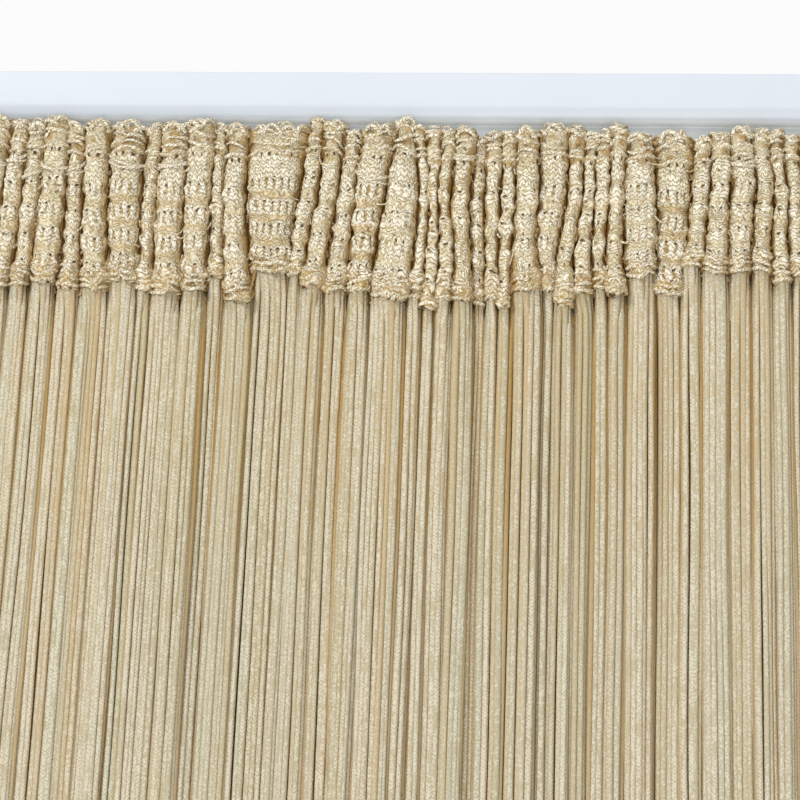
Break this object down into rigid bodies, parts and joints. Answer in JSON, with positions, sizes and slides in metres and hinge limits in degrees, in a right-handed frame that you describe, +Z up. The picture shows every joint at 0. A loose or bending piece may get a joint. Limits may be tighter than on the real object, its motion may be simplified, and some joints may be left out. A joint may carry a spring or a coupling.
{
  "type": "string door curtain on a rail",
  "caption": "Curtain of hanging strings under a gathered knitted heading, on a slim white rail, for a doorway.",
  "frame": {"origin": "centre of the rail's flat back face", "axes": "+X right along the rail as seen from the room, +Y back into the wall, +Z up; the curtain hangs down -Z and the room side is -Y"},
  "size_m": [0.94, 0.0211, 2.0243],
  "materials": {
    "rail_white": "smooth white with a soft gloss",
    "heading_knit": "cream knit of lustrous yarn, golden where it lies back",
    "string_yarn": "cream braided cord with a silky lustre"
  },
  "bodies": {
    "root": {"rail": "rail_white", "heading": "heading_knit", "strings": "string_yarn"}
  },
  "joints": []
}
